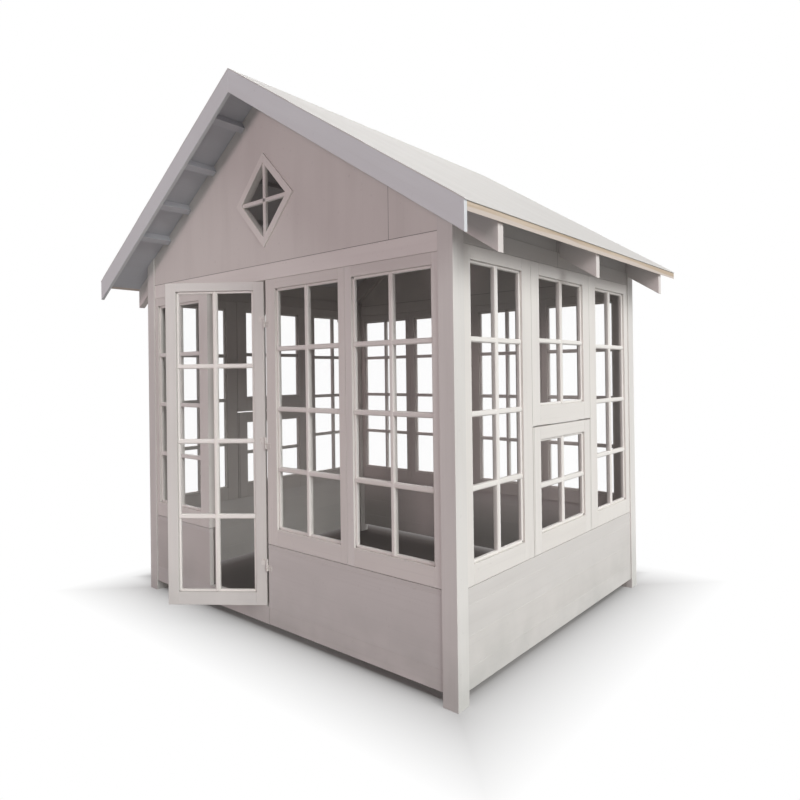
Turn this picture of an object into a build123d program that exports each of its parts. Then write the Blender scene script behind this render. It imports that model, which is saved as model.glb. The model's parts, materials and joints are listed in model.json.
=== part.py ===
from build123d import *
import math
import os

# Cabin over its corner posts; X runs along the front, Y to the back, Z up
cabin_width = 2800
cabin_depth = 2260
post_size = 90
infill_setback = 8
frame_thickness = 45
panel_thickness = 30
glass_thickness = 4

# Levels above the ground
foot_height = 65
sill_top = 550
opening_bottom = 650
front_opening_top = 2090
front_window_top = 2150
header_top = 2245
side_opening_top = 2120
side_window_top = 2190
plate_top = 2280

# Front and back bays, counted from a corner post to the middle of the wall
corner_stile = 42
mullion_width = 102
hanging_stile = 90

# Side bays: two tall windows beside a middle one that is split in height
side_corner_stile = 65
side_meeting_stile = 100
split_stile = 90
tall_glass_share = 0.315
split_upper_bottom = 1380
split_lower_top = 1190
split_lower_bottom = 660

# Roof
roof_pitch = 33
heel_height = 110
front_overhang = 240
rear_overhang = 200
eave_overhang = 232
roof_panel_thickness = 38
roof_skin_thickness = 4
roof_skin_lip = 4
eave_batten_thickness = 20
barge_depth = 113
barge_thickness = 22
rafter_thickness = 45
rafter_depth = 118
rafter_tail_inset = 15
blocking_thickness = 28
blocking_setback = 6
purlin_width = 45
purlin_depth = 50
purlin_shares = (0.165, 0.39, 0.61, 0.8)

# Rhombus window in the front gable
diamond_width_share = 0.208
diamond_height_share = 0.273
diamond_middle_share = 0.37
diamond_border_share = 0.79
diamond_proud = 10

# Door leaf, hung on the middle of the front wall
door_gap = 8
threshold_top = 170
leaf_thickness = 38
leaf_stile = 65
leaf_bottom_rail = 78
door_open = 37
stop_thickness = 20
stop_lap = 18
stop_landing = 25

# Lift-off hinges
hinge_shares = (0.125, 0.5, 0.875)
hinge_offset = 8
knuckle_radius = 7
knuckle_height = 35
knuckle_gap = 1
pin_radius = 4
pin_clearance = 0.05
pin_length = 30
hinge_plate_width = 32
hinge_plate_thickness = 2.5

overrun = 10

half_width = cabin_width / 2
half_depth = cabin_depth / 2
inner_half_width = half_width - post_size
inner_half_depth = half_depth - post_size
slope = math.tan(math.radians(roof_pitch))
plumb = 1 / math.cos(math.radians(roof_pitch))
panel_rise = roof_panel_thickness * plumb
skin_rise = roof_skin_thickness * plumb
barge_rise = barge_depth * plumb
rafter_rise = rafter_depth * plumb
eave_x = half_width + eave_overhang
roof_front = -half_depth - front_overhang
roof_back = half_depth + rear_overhang
barge_back = roof_front + barge_thickness
infill_back = infill_setback + frame_thickness
ridge_under = plate_top + heel_height + half_width * slope
high = ridge_under + panel_rise
purlin_places = [share * half_width for share in purlin_shares]
diamond_half_width = diamond_width_share * inner_half_width
diamond_half_height = diamond_height_share * (ridge_under - header_top)
diamond_middle = header_top + diamond_middle_share * (ridge_under - header_top)
bay_opening = (inner_half_width - corner_stile - mullion_width - hanging_stile) / 2
side_timber = 2 * (side_corner_stile + side_meeting_stile + split_stile)
side_glass = 2 * inner_half_depth - side_timber
side_opening = tall_glass_share * side_glass
side_middle_opening = side_glass - 2 * side_opening
side_middle_width = side_middle_opening + 2 * split_stile

os.makedirs("parts", exist_ok=True)
nodes = {}


def block(x, y, z):
    """Box between a pair of limits along each axis."""
    spans = (x, y, z)
    size = [span[1] - span[0] for span in spans]
    middle = [(span[0] + span[1]) / 2 for span in spans]
    return Pos(*middle) * Box(*size)


def prism(points, y):
    """Outline in X and Z carried along Y."""
    outline = make_face(Polyline(*[(px, 0, pz) for px, pz in points], close=True))
    return Pos(0, y[0], 0) * extrude(outline, y[1] - y[0], dir=(0, 1, 0))


def on_wall(shape, turn, reach):
    """Turns a front-facing wall piece, outer face at Y 0, to its place around the cabin."""
    return Rot(0, 0, turn) * Pos(0, -reach, 0) * shape


def framed(along, z, openings):
    """Timber frame of a wall bay with its openings cut through."""
    body = block(along, (infill_setback, infill_back), z)
    for gap_along, gap_z in openings:
        body -= block(gap_along, (infill_setback - overrun, infill_back + overrun), gap_z)
    return body


def boarded(along, z):
    """Closed panel of a wall bay."""
    return block(along, (infill_setback, infill_setback + panel_thickness), z)


def pane_depth(faces):
    """Front and back of a pane at half the depth between two faces."""
    middle = (faces[0] + faces[1]) / 2
    return (middle - glass_thickness / 2, middle + glass_thickness / 2)


def glazed(openings):
    """Panes that fill a frame's openings."""
    depth = pane_depth((infill_setback, infill_back))
    return [block(along, depth, z) for along, z in openings]


def flipped(spans):
    """Openings of a bay seen from the other end of the wall."""
    return [((-along[1], -along[0]), z) for along, z in spans]


def under_roof(x):
    """Height of the roof panels' underside at a distance from the ridge."""
    return plate_top + heel_height + (half_width - x) * slope


def slope_strip(side, x, lift, y):
    """Piece parallel to one roof slope, between two plumb ends and two heights over its underside."""
    low = [(side * at, under_roof(at) + lift[0]) for at in x]
    top = [(side * at, under_roof(at) + lift[1]) for at in reversed(x)]
    return prism(low + top, y)


def purlin(side, place):
    """Batten square to the slope, its top on the underside of the roof panel."""
    run = (math.cos(math.radians(roof_pitch)), -math.sin(math.radians(roof_pitch)))
    points = []
    for along, down in ((-1, 0), (1, 0), (1, 1), (-1, 1)):
        reach = along * purlin_width / 2
        drop = down * purlin_depth
        px = place + reach * run[0] + drop * run[1]
        pz = under_roof(place) + reach * run[1] - drop * run[0]
        points.append((side * px, pz))
    return prism(points, (barge_back, roof_back))


def post(side, end):
    """Corner post up to the roof, halved at the top for the rafter that sits on it."""
    x = (inner_half_width, half_width)
    foot = [(side * at, 0) for at in x]
    head = [(side * at, under_roof(at)) for at in reversed(x)]
    body = prism(foot + head, sorted((end * inner_half_depth, end * half_depth)))
    seat_y = sorted((end * (inner_half_depth - overrun), end * rafter_outer))
    seat_x = sorted((side * (inner_half_width - overrun), side * (half_width + overrun)))
    return body - block(seat_x, seat_y, (plate_top, high))


def rafter(side, y, wall_face):
    """Rafter with a plumb tail, a birdsmouth over the wall and a notch for each purlin."""
    body = slope_strip(side, (0, eave_x - rafter_tail_inset), (-rafter_rise, 0), y)
    seat = sorted((0, side * wall_face))
    body -= block(seat, (y[0] - overrun, y[1] + overrun), (0, plate_top))
    for place in purlin_places:
        body -= purlin(side, place)
    return body


def gable(end):
    """Gable panel between the posts, notched over the purlins."""
    outline = [
        (-inner_half_width, header_top),
        (inner_half_width, header_top),
        (inner_half_width, under_roof(inner_half_width)),
        (0, under_roof(0)),
        (-inner_half_width, under_roof(inner_half_width)),
    ]
    body = prism(outline, sorted((end * rafter_outer, end * (half_depth - infill_setback))))
    for side in (-1, 1):
        for place in purlin_places:
            body -= purlin(side, place)
    return body


def rhombus(share, y):
    """Upright rhombus of the gable window, at a share of its full size."""
    wide = diamond_half_width * share
    tall = diamond_half_height * share
    outline = [
        (-wide, diamond_middle),
        (0, diamond_middle - tall),
        (wide, diamond_middle),
        (0, diamond_middle + tall),
    ]
    return prism(outline, y)


def wall_plate():
    """Top plate of a side wall with the boards that close it up to the roof."""
    depth = (infill_setback, infill_back)
    run = (-inner_half_depth, inner_half_depth)
    body = block(run, depth, (side_window_top, plate_top))
    face = half_width - infill_setback - blocking_setback
    closing = slope_strip(1, (face - blocking_thickness, face), (-high, 0), run)
    closing -= block((0, eave_x), run, (-high, plate_top))
    closing -= block((0, eave_x), (-rafter_thickness / 2, rafter_thickness / 2), (0, high))
    return on_wall(body, right_turn, half_width) + closing


def knuckle(z, side, bore):
    """Half of a hinge: a barrel on the pin's axis and its plate on the timber."""
    barrel = Pos(0, 0, (z[0] + z[1]) / 2) * Cylinder(knuckle_radius, z[1] - z[0])
    reach = sorted((0, side * (door_gap / 2 + hinge_plate_width)))
    plate = block(reach, (hinge_offset - hinge_plate_thickness, hinge_offset), z)
    body = barrel + plate
    if bore:
        body -= Pos(0, 0, (z[0] + z[1]) / 2) * Cylinder(bore, z[1] - z[0] + overrun)
    return body


# A rafter over an end wall is flush with the inner faces of its posts
rafter_outer = inner_half_depth + rafter_thickness

# Corner posts
ends = {"front": -1, "back": 1}
sides = {"left": -1, "right": 1}
for end_name, end in ends.items():
    for side_name, side in sides.items():
        nodes[f"post_{end_name}_{side_name}"] = post(side, end)

# Front and back bays: openings of a double window from the middle to a corner
corner_open = (inner_half_width - corner_stile - bay_opening, inner_half_width - corner_stile)
middle_open = (corner_open[0] - mullion_width - bay_opening, corner_open[0] - mullion_width)
front_rows = (opening_bottom, front_opening_top)
double_bay = [(middle_open, front_rows), (corner_open, front_rows)]
single_bay = flipped([(corner_open, front_rows)])
door_side = corner_open[0] - mullion_width
sash = (sill_top, front_window_top)

front_turn = 0
back_turn = 180
right_turn = 90
left_turn = -90


def front(shape):
    """Places a piece in the front wall."""
    return on_wall(shape, front_turn, half_depth)


def back(shape):
    """Places a piece in the back wall."""
    return on_wall(shape, back_turn, half_depth)


low_panel = (foot_height, sill_top)
whole_width = (-inner_half_width, inner_half_width)
nodes["front_sill_panel_left"] = front(boarded((-inner_half_width, -door_side), low_panel))
nodes["front_sill_panel_right"] = front(boarded((0, inner_half_width), low_panel))
nodes["door_threshold"] = front(framed((-door_side, 0), (foot_height, threshold_top), []))
nodes["front_window_left"] = front(framed((-inner_half_width, -door_side), sash, single_bay))
nodes["front_window_right"] = front(framed((0, inner_half_width), sash, double_bay))
nodes["front_header"] = front(framed(whole_width, (front_window_top, header_top), []))

back_bays = double_bay + flipped(double_bay)
nodes["back_sill_panel"] = back(boarded(whole_width, low_panel))
nodes["back_window"] = back(framed(whole_width, sash, back_bays))
nodes["back_header"] = back(framed(whole_width, (front_window_top, header_top), []))

# Strip around the back of the doorway that the leaf shuts towards
stop_depth = (infill_back, infill_back + stop_thickness)
stop_hole = (-door_side + stop_lap, -stop_lap)
stop = block(
    (-door_side - stop_landing, stop_landing), stop_depth, (threshold_top, front_window_top + stop_landing)
)
stop -= block(
    stop_hole,
    (stop_depth[0] - overrun, stop_depth[1] + overrun),
    (threshold_top - overrun, front_window_top - stop_lap),
)
nodes["door_stop"] = front(stop)

# Gables and the rhombus window
diamond_y = (-half_depth + infill_setback - diamond_proud, -rafter_outer)
diamond_cut = (diamond_y[0] - overrun, diamond_y[1] + overrun)
nodes["front_gable"] = gable(-1) - rhombus(1, diamond_cut)
nodes["gable_window_frame"] = rhombus(1, diamond_y) - rhombus(diamond_border_share, diamond_cut)
nodes["back_gable"] = gable(1)
diamond_pane = rhombus(diamond_border_share, pane_depth(diamond_y))

# Side walls
bay_edge = side_middle_width / 2
tall_open = (inner_half_depth - side_corner_stile - side_opening, inner_half_depth - side_corner_stile)
middle_half = (-side_middle_opening / 2, side_middle_opening / 2)
tall_back = [(tall_open, (opening_bottom, side_opening_top))]
tall_front = flipped(tall_back)
split = [
    (middle_half, (split_upper_bottom, side_opening_top)),
    (middle_half, (split_lower_bottom, split_lower_top)),
]
side_sash = (sill_top, side_window_top)
whole_depth = (-inner_half_depth, inner_half_depth)
side_walls = {"right": (right_turn, 1), "left": (left_turn, -1)}
for name, (turn, sense) in side_walls.items():
    bays = {
        "window_middle": framed((-bay_edge, bay_edge), side_sash, split),
        "sill_panel": boarded(whole_depth, low_panel),
    }
    ahead = framed((-inner_half_depth, -bay_edge), side_sash, tall_front)
    behind = framed((bay_edge, inner_half_depth), side_sash, tall_back)
    bays["window_front"] = ahead if sense > 0 else behind
    bays["window_back"] = behind if sense > 0 else ahead
    for bay, shape in bays.items():
        nodes[f"{name}_{bay}"] = on_wall(shape, turn, half_width)
    panes = glazed(tall_front + split + tall_back)
    nodes[f"{name}_glass"] = Compound([on_wall(pane, turn, half_width) for pane in panes])
nodes["right_wall_plate"] = wall_plate()
nodes["left_wall_plate"] = Rot(0, 0, back_turn) * wall_plate()

nodes["front_glass"] = Compound([front(pane) for pane in glazed(single_bay + double_bay)] + [diamond_pane])
nodes["back_glass"] = Compound([back(pane) for pane in glazed(back_bays)])

# Roof frame
end_rafter = (inner_half_depth, rafter_outer)
middle_rafter = (-rafter_thickness / 2, rafter_thickness / 2)
plate_face = half_width - infill_setback
for side_name, side in sides.items():
    nodes[f"rafters_{side_name}"] = Compound(
        [
            rafter(side, (-end_rafter[1], -end_rafter[0]), half_width),
            rafter(side, middle_rafter, plate_face),
            rafter(side, end_rafter, half_width),
        ]
    )
nodes["purlins"] = Compound([purlin(side, place) for side in sides.values() for place in purlin_places])

# Roof covering
covered = (barge_back, roof_back)
deck_edge = eave_x - eave_batten_thickness
for side_name, side in sides.items():
    nodes[f"roof_panel_{side_name}"] = slope_strip(side, (0, deck_edge), (0, panel_rise), covered)
    nodes[f"roof_skin_{side_name}"] = slope_strip(
        side, (0, eave_x + roof_skin_lip), (panel_rise, panel_rise + skin_rise), (roof_front, roof_back)
    )
    nodes[f"barge_board_{side_name}"] = slope_strip(
        side, (0, eave_x), (panel_rise - barge_rise, panel_rise), (roof_front, barge_back)
    )
nodes["eave_battens"] = Compound(
    [slope_strip(side, (deck_edge, eave_x), (0, panel_rise), covered) for side in sides.values()]
)

# Door leaf, shut, then turned about its hinges
leaf_x = (-door_side + door_gap, -door_gap)
leaf_y = (infill_setback, infill_setback + leaf_thickness)
leaf_z = (threshold_top + door_gap, front_window_top - door_gap)
leaf_open_x = (leaf_x[0] + leaf_stile, leaf_x[1] - leaf_stile)
leaf_open_z = (leaf_z[0] + leaf_bottom_rail, front_opening_top)
leaf = block(leaf_x, leaf_y, leaf_z)
leaf -= block(leaf_open_x, (leaf_y[0] - overrun, leaf_y[1] + overrun), leaf_open_z)
leaf_pane = block(leaf_open_x, pane_depth(leaf_y), leaf_open_z)

pivot = Pos(-door_gap / 2, -half_depth + infill_setback - hinge_offset, 0)
fixed_halves = []
moving_halves = []
hinge_heights = [leaf_z[0] + share * (leaf_z[1] - leaf_z[0]) for share in hinge_shares]
for height in hinge_heights:
    lower = (height - knuckle_height, height)
    upper = (height + knuckle_gap, height + knuckle_gap + knuckle_height)
    pin = Pos(0, 0, height + pin_length / 2) * Cylinder(pin_radius, pin_length)
    fixed_halves.append(pivot * (knuckle(lower, 1, None) + pin))
    moving_halves.append(pivot * knuckle(upper, -1, pin_radius + pin_clearance))
nodes["hinge_pins"] = Compound(fixed_halves)

swing = pivot * Rot(0, 0, door_open) * pivot.inverse()
nodes["door_leaf"] = swing * front(leaf)
nodes["door_glass"] = swing * front(leaf_pane)
nodes["door_knuckles"] = Compound([swing * half for half in moving_halves])

# The origin is under the middle of the whole cabin with its door ajar
bounds = Compound(list(nodes.values())).bounding_box()
centring = Pos(-(bounds.min.X + bounds.max.X) / 2, -(bounds.min.Y + bounds.max.Y) / 2, -bounds.min.Z)
for name, shape in nodes.items():
    export_step(centring * shape, f"parts/{name}.step")
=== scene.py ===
"""Looks of a white-painted prefab garden cabin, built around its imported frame."""

import json
import logging
import math
from dataclasses import dataclass, field
from enum import Enum

import bmesh
import bpy
import numpy as np
from mathutils import Matrix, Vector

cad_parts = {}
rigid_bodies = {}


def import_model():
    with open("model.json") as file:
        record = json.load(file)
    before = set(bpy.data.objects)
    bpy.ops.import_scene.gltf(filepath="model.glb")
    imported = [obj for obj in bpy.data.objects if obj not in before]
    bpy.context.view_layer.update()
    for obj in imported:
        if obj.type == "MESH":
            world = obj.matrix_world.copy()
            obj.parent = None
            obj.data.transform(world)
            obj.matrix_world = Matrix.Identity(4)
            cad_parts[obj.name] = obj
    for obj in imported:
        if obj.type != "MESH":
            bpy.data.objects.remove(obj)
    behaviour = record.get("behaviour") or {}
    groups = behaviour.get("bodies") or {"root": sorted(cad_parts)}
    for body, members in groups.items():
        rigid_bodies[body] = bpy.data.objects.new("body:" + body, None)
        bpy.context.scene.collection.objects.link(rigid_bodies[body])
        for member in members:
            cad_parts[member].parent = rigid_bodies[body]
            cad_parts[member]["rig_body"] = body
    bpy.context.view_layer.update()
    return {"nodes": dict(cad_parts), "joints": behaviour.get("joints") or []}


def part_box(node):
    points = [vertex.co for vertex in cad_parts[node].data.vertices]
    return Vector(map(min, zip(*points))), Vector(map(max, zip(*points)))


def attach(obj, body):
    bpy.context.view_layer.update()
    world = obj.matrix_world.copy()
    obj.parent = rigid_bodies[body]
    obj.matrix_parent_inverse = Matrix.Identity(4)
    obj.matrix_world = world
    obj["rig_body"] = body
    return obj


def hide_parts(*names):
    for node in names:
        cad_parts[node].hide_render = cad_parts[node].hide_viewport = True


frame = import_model()

LOG = logging.getLogger("cabin")
Span = tuple[float, float]
Opening = tuple[Span, Span]
Triple = tuple[float, float, float]
Node = bpy.types.Node
Socket = bpy.types.NodeSocket
Outputs = bpy.types.bpy_prop_collection
Feed = Socket | float | tuple[float, ...]

# Front face of frames, panels and the shut door, in from the posts.
SETBACK = 0.008
# Steps of the boards' own numbers, which spread them over 0 to 1.
BOARD_STEP = 0.618
NAME_STEP = 0.37
# Limits under which points are one and faces are flat, when a CAD mesh is merged.
SAME_POINT = 1e-5
SAME_PLANE = math.radians(1)
# Weights that make one place across a timber out of three coordinates.
ACROSS = np.array([1.0, 0.83, 0.59])


class Body(Enum):
    """Rigid bodies that pieces ride on."""

    CABIN = "cabin"
    DOOR = "door"


class Grain(Enum):
    """Direction of a board's fibres in the plane of its wall."""

    ALONG = "along"
    UP = "up"


class Axis(Enum):
    """Axes of the cabin's frame."""

    X = 0
    Y = 1
    Z = 2


class Wall(Enum):
    """Walls of the cabin, each with the turn in degrees that takes the front wall to it."""

    FRONT = 0
    RIGHT = 90
    BACK = 180
    LEFT = -90


@dataclass(frozen=True)
class Plan:
    """Outline of the corner posts on the ground, read from the frame."""

    left: float
    right: float
    front: float
    back: float

    @classmethod
    def read(cls) -> "Plan":
        """Reads the outline from the corner posts' boxes.

        Returns:
            The outline.
        """
        low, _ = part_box("post_front_left")
        _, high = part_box("post_back_right")
        return cls(low.x, high.x, low.y, high.y)

    def centre(self) -> np.ndarray:
        """Middle of the outline, as a point on the ground."""
        return np.array([(self.left + self.right) / 2, (self.front + self.back) / 2, 0.0])

    def reach(self, wall: Wall) -> float:
        """Distance from the middle to a wall's outer face."""
        is_end = wall in (Wall.FRONT, Wall.BACK)
        return (self.back - self.front if is_end else self.right - self.left) / 2

    def place(self, points: np.ndarray, wall: Wall) -> np.ndarray:
        """Turns wall coordinates into the cabin's own.

        A point runs along the wall, in from its outer face and up; it is set back to the front
        wall's place and turned about the middle of the plan.

        Args:
            points: Points of shape (..., 3).
            wall: The wall that they lie in.

        Returns:
            The points in the cabin's frame.
        """
        angle = math.radians(wall.value)
        along = points[..., 0]
        depth = points[..., 1] - self.reach(wall)
        x = along * math.cos(angle) - depth * math.sin(angle)
        y = along * math.sin(angle) + depth * math.cos(angle)
        return np.stack([x, y, points[..., 2]], axis=-1) + self.centre()


PLAN = Plan.read()


def cut_rectangle(a: Span, b: Span, cut: float) -> np.ndarray:
    """Outline of a rectangle with its corners cut at 45 degrees.

    Args:
        a: Limits along the first axis.
        b: Limits along the second axis.
        cut: Length that each corner loses on both sides.

    Returns:
        Eight points of shape (8, 2), anticlockwise.
    """
    x = np.array([a[0] + cut, a[1] - cut, a[1], a[1], a[1] - cut, a[0] + cut, a[0], a[0]])
    y = np.array([b[0], b[0], b[0] + cut, b[1] - cut, b[1], b[1], b[1] - cut, b[0] + cut])
    return np.stack([x, y], axis=-1)


def ring_faces(stations: int, points: int, start: int) -> list[list[int]]:
    """Faces of a surface whose rings are joined station to station, with a flat cap at each end.

    Args:
        stations: Number of rings.
        points: Points in each ring.
        start: Index of the first point.

    Returns:
        Index lists that face outwards when rings run anticlockwise about the path.
    """
    s, p = np.meshgrid(np.arange(stations - 1), np.arange(points), indexing="ij")
    following = (p + 1) % points
    near, far = start + s * points, start + (s + 1) * points
    quads = np.stack([near + p, near + following, far + following, far + p], axis=-1)
    ring = np.arange(points) + start
    caps = [ring[::-1].tolist(), (ring + (stations - 1) * points).tolist()]
    return quads.reshape(-1, 4).tolist() + caps


def inset(span: Span, by: float) -> Span:
    """Limits that are drawn in at both ends."""
    return (span[0] + by, span[1] - by)


def ends(span: Span, width: float) -> tuple[Span, Span]:
    """Strips of one width at both ends of a span."""
    return (span[0], span[0] + width), (span[1] - width, span[1])


def linked(name: str, data: bpy.types.ID) -> bpy.types.Object:
    """Links a mesh, lamp or camera to the scene as an object at the origin.

    Args:
        name: Name of the object.
        data: What it shows.

    Returns:
        The new object.
    """
    made = bpy.data.objects.new(name, data)
    bpy.context.scene.collection.objects.link(made)
    return made


def aimed(axes: tuple[np.ndarray, ...], at: np.ndarray) -> Matrix:
    """Matrix whose columns are three axes and a place."""
    columns = np.stack([*axes, at], axis=1)
    return Matrix([*columns.tolist(), [0.0, 0.0, 0.0, 1.0]])


@dataclass
class Joinery:
    """Timbers of one piece, gathered as rings and made into one mesh.

    Attributes:
        ease: Size of the small bevel on each board, in metres.
        boards: Board coordinates of each timber's points.
    """

    name: str
    body: Body = Body.CABIN
    ease: float = 0.0012
    points: list[np.ndarray] = field(default_factory=list)
    faces: list[list[int]] = field(default_factory=list)
    boards: list[np.ndarray] = field(default_factory=list)

    def carry(self, rings: np.ndarray, coordinates: np.ndarray) -> None:
        """Adds one timber whose profile is carried along a path.

        Args:
            rings: Points of shape (stations, points, 3) in the cabin's frame.
            coordinates: Length along the timber and across it, of shape (stations, points, 2).
        """
        stations, around, _ = rings.shape
        self.faces.extend(ring_faces(stations, around, sum(map(len, self.points))))
        self.points.append(rings.reshape(-1, 3))
        number = math.fmod(len(self.points) * BOARD_STEP + len(self.name) * NAME_STEP, 1.0)
        numbers = np.full((stations * around, 1), number)
        self.boards.append(np.hstack([coordinates.reshape(-1, 2), numbers]))

    def board(
        self, wall: Wall, along: Span, depth: Span, up: Span, grain: Grain, ease: float | None = None
    ) -> None:
        """Adds a square timber: a rectangle with cut corners carried along the grain, its ends drawn in.

        Args:
            wall: Wall in whose coordinates the limits are given.
            along: Limits along the wall.
            depth: Limits in from the wall's outer face.
            up: Limits of height.
            grain: Direction of the fibres.
            ease: Bevel, or None for the piece's own.
        """
        cut = self.ease if ease is None else ease
        run, side = (along, up) if grain is Grain.ALONG else (up, along)
        full = cut_rectangle(depth, side, cut)
        drawn = cut_rectangle(inset(depth, cut), inset(side, cut), cut / 2)
        profile = np.stack([drawn, full, full, drawn])
        stations = np.array([run[0], run[0] + cut, run[1] - cut, run[1]])
        lengths = np.broadcast_to(stations[:, None], profile.shape[:2])
        across = profile[..., 1] + profile[..., 0]
        if grain is Grain.ALONG:
            rings = np.stack([lengths, profile[..., 0], profile[..., 1]], axis=-1)
        else:
            rings = np.stack([profile[..., 1], profile[..., 0], lengths], axis=-1)[:, ::-1]
            across = across[:, ::-1]
        self.carry(PLAN.place(rings, wall), np.stack([lengths, across], axis=-1))

    def build(
        self, finish: "Finish", replaced: tuple[str, ...] = (), turn: Matrix | None = None
    ) -> None:
        """Makes the mesh object, dresses it and lets it ride on its body.

        Args:
            finish: Finish of the whole piece.
            replaced: CAD nodes that it stands for.
            turn: Move of the points before they go into the mesh, or None.
        """
        points = np.concatenate(self.points)
        if turn is not None:
            homogeneous = np.hstack([points, np.ones((len(points), 1))])
            points = (homogeneous @ np.array(turn).T)[:, :3]
        mesh = bpy.data.meshes.new(self.name)
        mesh.from_pydata(points.tolist(), [], self.faces)
        write_boards(mesh, np.concatenate(self.boards))
        finished(mesh, self.name, self.body, finish, replaced)


def write_boards(mesh: bpy.types.Mesh, boards: np.ndarray) -> None:
    """Keeps each vertex's length along its board, place across it and the board's own number."""
    layer = mesh.attributes.new("board", "FLOAT_VECTOR", "POINT")
    layer.data.foreach_set("vector", boards.astype(np.float32).ravel())


def finished(
    mesh: bpy.types.Mesh, name: str, body: Body, finish: "Finish", replaced: tuple[str, ...]
) -> None:
    """Links a mesh as a piece, with its finish, body and the nodes it stands for.

    Args:
        mesh: The mesh, with its place in its points.
        name: Name of the object.
        body: Body that it rides on.
        finish: Finish of the whole piece.
        replaced: CAD nodes that it stands for.
    """
    mesh.update()
    piece = linked(name, mesh)
    piece.data.materials.append(finish.material())
    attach(piece, body.value)
    if replaced:
        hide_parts(*replaced)
    LOG.info("%s: %d faces", name, len(mesh.polygons))


def eased_copy(node: str, finish: "Finish", fibres: Triple, ease: float = 0.002) -> None:
    """Replaces a CAD timber by a copy of it whose edges are rounded over.

    The copy's triangles are merged into flat faces, each sharp edge becomes a small round, and the
    board coordinates are the distances along the fibres and square to them.

    Args:
        node: CAD node.
        finish: Finish of the copy.
        fibres: Unit direction of the fibres.
        ease: Width of the round.
    """
    name = f"{node}_timber"
    shape = bmesh.new()
    shape.from_mesh(frame["nodes"][node].data)
    bmesh.ops.remove_doubles(shape, verts=shape.verts, dist=SAME_POINT)
    bmesh.ops.dissolve_limit(shape, angle_limit=SAME_PLANE, verts=shape.verts, edges=shape.edges)
    bmesh.ops.bevel(
        shape, geom=shape.edges[:], offset=ease, segments=2, profile=0.6, affect="EDGES", clamp_overlap=True
    )
    mesh = bpy.data.meshes.new(name)
    shape.to_mesh(mesh)
    shape.free()
    points = np.zeros(len(mesh.vertices) * 3, np.float32)
    mesh.vertices.foreach_get("co", points)
    points = points.reshape(-1, 3)
    direction = np.array(fibres)
    along = points @ direction
    across = (points - along[:, None] * direction) @ ACROSS
    numbers = np.full(len(points), math.fmod(sum(map(ord, node)) * BOARD_STEP, 1.0))
    write_boards(mesh, np.stack([along, across, numbers], axis=-1))
    finished(mesh, name, Body(frame["nodes"][node]["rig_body"]), finish, (node,))


class Shader:
    """Small helper that adds and joins nodes in one node tree."""

    def __init__(self, tree: bpy.types.NodeTree) -> None:
        """Keeps the tree."""
        self.tree = tree

    def node(self, kind: str, feeds: dict[int | str, Feed] | None = None, **settings: object) -> Node:
        """Adds a node.

        Args:
            kind: Type of the node.
            feeds: What goes into its inputs, by their names or numbers.
            settings: Values of its properties by name.

        Returns:
            The new node.
        """
        made = self.tree.nodes.new(kind)
        for name, value in settings.items():
            setattr(made, name, value)
        for name, value in (feeds or {}).items():
            self.join(value, made.inputs[name])
        return made

    def join(self, value: Feed, socket: Socket) -> None:
        """Feeds an input from an output, or with a number, vector or colour.

        Args:
            value: What goes in.
            socket: The input.
        """
        if isinstance(value, Socket):
            self.tree.links.new(value, socket)
        elif socket.type == "RGBA":
            socket.default_value = (*value, 1.0)
        else:
            socket.default_value = value

    def math(self, operation: str, *values: Feed) -> Socket:
        """Works out a value from sockets or numbers."""
        return self.node("ShaderNodeMath", dict(enumerate(values)), operation=operation).outputs[0]

    def blend(self, share: Socket, first: Feed, second: Feed) -> Socket:
        """Mixes two colours by the share of the second."""
        feeds = {0: share, 6: first, 7: second}
        return self.node("ShaderNodeMix", feeds, data_type="RGBA").outputs[2]

    def layer(self, colour: Feed, mask: Socket, share: float, over: Feed) -> Socket:
        """Lays a colour over another one where a mask is, up to a share."""
        return self.blend(self.math("MULTIPLY", mask, share), colour, over)

    def ramp(self, value: Socket, low: float, high: float, curve: str = "LINEAR") -> Socket:
        """Stretches a value so that low becomes 0 and high becomes 1, clamped."""
        feeds = {"Value": value, "From Min": low, "From Max": high}
        return self.node("ShaderNodeMapRange", feeds, clamp=True, interpolation_type=curve).outputs[0]

    def noise(self, place: Socket, scale: float, detail: float) -> Socket:
        """Gives the noise at a place."""
        feeds = {"Vector": place, "Scale": scale, "Detail": detail}
        return self.node("ShaderNodeTexNoise", feeds).outputs["Fac"]

    def relief(self, height: Socket, strength: float, rise: float) -> Socket:
        """Gives the normal of a fine relief from its height, with its rise in metres."""
        feeds = {"Height": height, "Strength": strength, "Distance": rise}
        return self.node("ShaderNodeBump", feeds).outputs["Normal"]

    def place(self) -> Socket:
        """Gives the object coordinates."""
        return self.node("ShaderNodeTexCoord").outputs["Object"]

    def coordinate(self, place: Socket, axis: Axis) -> Socket:
        """Gives one coordinate of a place."""
        return self.node("ShaderNodeSeparateXYZ", {0: place}).outputs[axis.value]


def emptied(owner: bpy.types.Material | bpy.types.World) -> Shader:
    """Clears the nodes of a material or world.

    Args:
        owner: The material or world.

    Returns:
        Helper for its new nodes.
    """
    owner.use_nodes = True
    owner.node_tree.nodes.clear()
    return Shader(owner.node_tree)


def start_group(name: str, source: str, outputs: tuple[str, ...]) -> tuple[Shader, Socket, Node]:
    """Starts a shader node group with a vector input and outputs of plain values.

    Args:
        name: Name of the group.
        source: Name of the input.
        outputs: Names of the outputs.

    Returns:
        Helper for its nodes, the input's socket and the node that takes the outputs.
    """
    tree = bpy.data.node_groups.new(name, "ShaderNodeTree")
    tree.interface.new_socket(source, in_out="INPUT", socket_type="NodeSocketVector")
    for label in outputs:
        tree.interface.new_socket(label, in_out="OUTPUT", socket_type="NodeSocketFloat")
    sh = Shader(tree)
    return sh, sh.node("NodeGroupInput").outputs[source], sh.node("NodeGroupOutput")


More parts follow.
